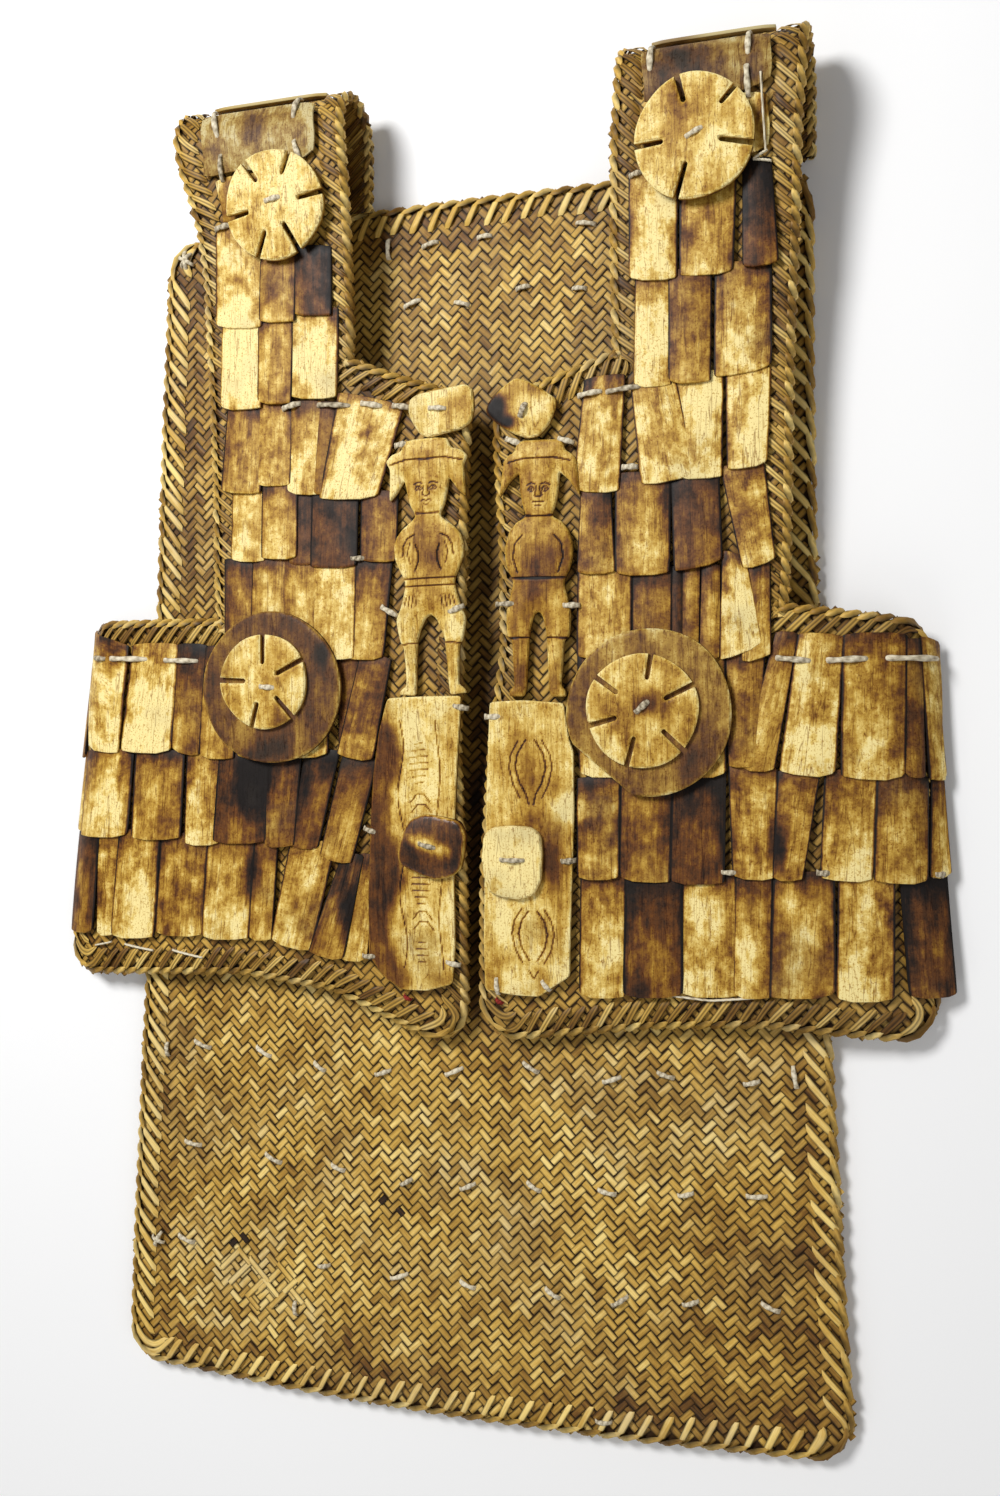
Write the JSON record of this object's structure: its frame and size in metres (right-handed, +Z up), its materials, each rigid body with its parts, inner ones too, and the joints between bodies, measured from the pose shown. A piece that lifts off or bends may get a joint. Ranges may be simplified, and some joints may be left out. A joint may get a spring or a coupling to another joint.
{
  "type": "rattan and bone-plate armour vest, lying on its back on a flat surface",
  "caption": "Sleeveless plaited armour vest lying flat: long back, two open fronts with side flaps and shoulder straps, covered in rows of bone plates with discs and carved toggles.",
  "frame": {"origin": "middle of the box round the vest, on the surface that it lies on", "axes": "+X across the chest towards the wearer's left, +Y from the hem to the shoulders, +Z up from the surface through the back to the fronts"},
  "size_m": [0.5676, 0.8257, 0.0651],
  "materials": {
    "rattan": "split rattan, twill plaited, satin",
    "rim": "split rattan wrapping with a braided edge, satin",
    "bone": "aged bone plates, polished and stained brown",
    "carved_bone": "pale carved and engraved bone, lightly polished",
    "horn": "dark polished horn"
  },
  "bodies": {
    "root": {"back_panel": "rattan", "back_rim": "rim", "front_left_panel": "rattan", "front_left_rim": "rim", "front_right_panel": "rattan", "front_right_rim": "rim", "back_plates_row_1": "bone", "back_plates_row_2": "bone", "back_plates_row_3": "bone", "back_plates_row_4": "bone", "back_plates_row_5": "bone", "back_plates_row_6": "bone", "back_plates_row_7": "bone", "back_plates_row_8": "bone", "back_plates_row_9": "bone", "back_plates_row_10": "bone", "back_plates_row_11": "bone", "left_strap_plates_upper": "bone", "left_strap_plates_lower": "bone", "left_chest_plates_row_1": "bone", "left_chest_plates_row_2": "bone", "left_chest_plates_row_3": "bone", "left_chest_plates_row_4": "bone", "left_flap_plates_row_1": "bone", "left_flap_plates_row_2": "bone", "left_flap_plates_row_3": "bone", "right_strap_plates_upper": "bone", "right_strap_plates_lower": "bone", "right_chest_plates_row_1": "bone", "right_chest_plates_row_2": "bone", "right_chest_plates_row_3": "bone", "right_flap_plates_row_1": "bone", "right_flap_plates_row_2": "bone", "right_flap_plates_row_3": "bone", "left_cross_plate_upper": "bone", "left_cross_plate_lower": "bone", "right_cross_plate_upper": "bone", "right_cross_plate_lower": "bone", "left_shoulder_plate": "bone", "right_shoulder_plate": "bone", "left_strap_disc": "carved_bone", "right_strap_disc": "carved_bone", "left_side_disc": "carved_bone", "right_side_disc": "carved_bone", "left_slotted_disc": "carved_bone", "right_slotted_disc": "carved_bone", "left_carved_figure": "carved_bone", "right_carved_figure": "carved_bone", "left_long_plate": "carved_bone", "right_long_plate": "carved_bone", "left_neck_toggle": "carved_bone", "right_neck_toggle": "carved_bone", "square_toggle": "carved_bone", "horn_toggle": "horn"}
  },
  "joints": []
}
